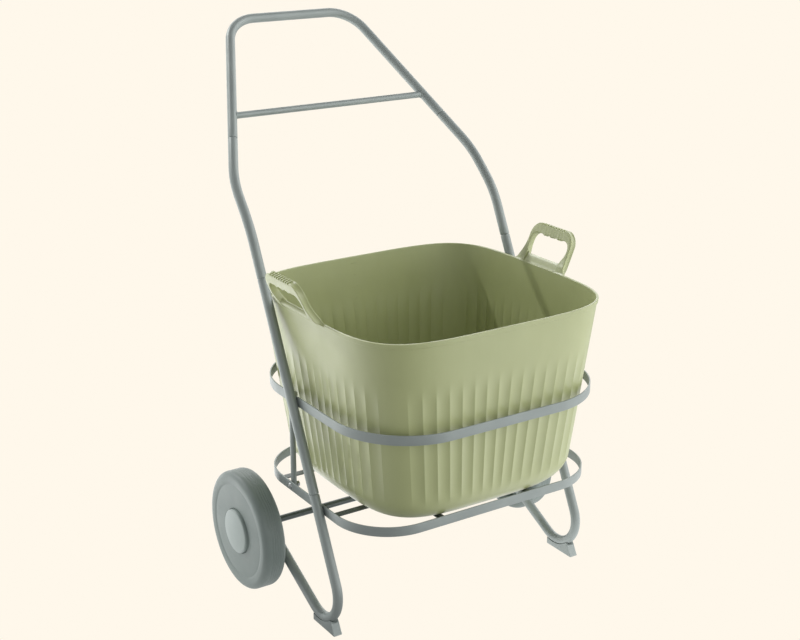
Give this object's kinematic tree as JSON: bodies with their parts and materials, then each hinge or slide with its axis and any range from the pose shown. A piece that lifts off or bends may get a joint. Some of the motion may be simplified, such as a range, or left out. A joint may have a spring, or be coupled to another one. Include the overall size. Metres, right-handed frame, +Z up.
{
  "type": "garden cart",
  "caption": "Upright garden cart with a bent tube frame, flat hoops that carry a lift-out fluted plastic tub, a looped push handle, ground feet and rear wheels on a shared axle.",
  "frame": {"origin": "on the ground, under the middle of the cart's outline seen from above", "axes": "+Z up, -Y towards the front where the feet are, +Y towards the handle, +X to the right seen from the front"},
  "size_m": [0.7206, 0.7923, 1.0761],
  "materials": {
    "frame_paint": "semi-gloss powder coat",
    "axle_paint": "satin",
    "zinc_steel": "satin zinc plate",
    "wheel_plastic": "matte moulded",
    "cap_plastic": "satin moulded",
    "nylon": "satin",
    "tub_plastic": "satin moulded"
  },
  "bodies": {
    "frame": {"handle_bar": "frame_paint", "handle_crossbar": "frame_paint", "middle_tube_left": "frame_paint", "middle_tube_right": "frame_paint", "upright_left": "frame_paint", "upright_right": "frame_paint", "foot_loop_left": "frame_paint", "foot_loop_right": "frame_paint", "axle_sleeve_left": "frame_paint", "axle_sleeve_right": "frame_paint", "foot_left": "frame_paint", "foot_right": "frame_paint", "foot_screws": "zinc_steel", "joint_screws": "zinc_steel", "upper_hoop": "frame_paint", "lower_hoop": "frame_paint", "hoop_screws": "zinc_steel", "hoop_inserts": "zinc_steel", "strut_left": "frame_paint", "strut_right": "frame_paint", "strut_bolts": "zinc_steel", "strut_nuts": "zinc_steel", "cross_strap_front": "axle_paint", "cross_strap_rear": "axle_paint", "long_strap_left": "axle_paint", "long_strap_right": "axle_paint", "axle": "axle_paint", "inner_washers": "zinc_steel", "outer_washers": "zinc_steel", "axle_caps": "zinc_steel"},
    "left_wheel": {"wheel_left": "wheel_plastic", "hub_bush_left": "nylon", "hub_cap_left": "cap_plastic"},
    "right_wheel": {"wheel_right": "wheel_plastic", "hub_bush_right": "nylon", "hub_cap_right": "cap_plastic"},
    "tub": {"tub": "tub_plastic"}
  },
  "joints": [
    {"name": "left_wheel_spin", "type": "hinge", "parent": "frame", "child": "left_wheel", "pos_m": [-0.3288, 0.0161, 0.12], "axis": [1, 0, 0], "continuous": true},
    {"name": "right_wheel_spin", "type": "hinge", "parent": "frame", "child": "right_wheel", "pos_m": [0.3288, 0.0161, 0.12], "axis": [1, 0, 0], "continuous": true},
    {"name": "tub_lift", "type": "slide", "parent": "frame", "child": "tub", "axis": [0, 0, 1], "range_m": [0, 0.3]}
  ]
}
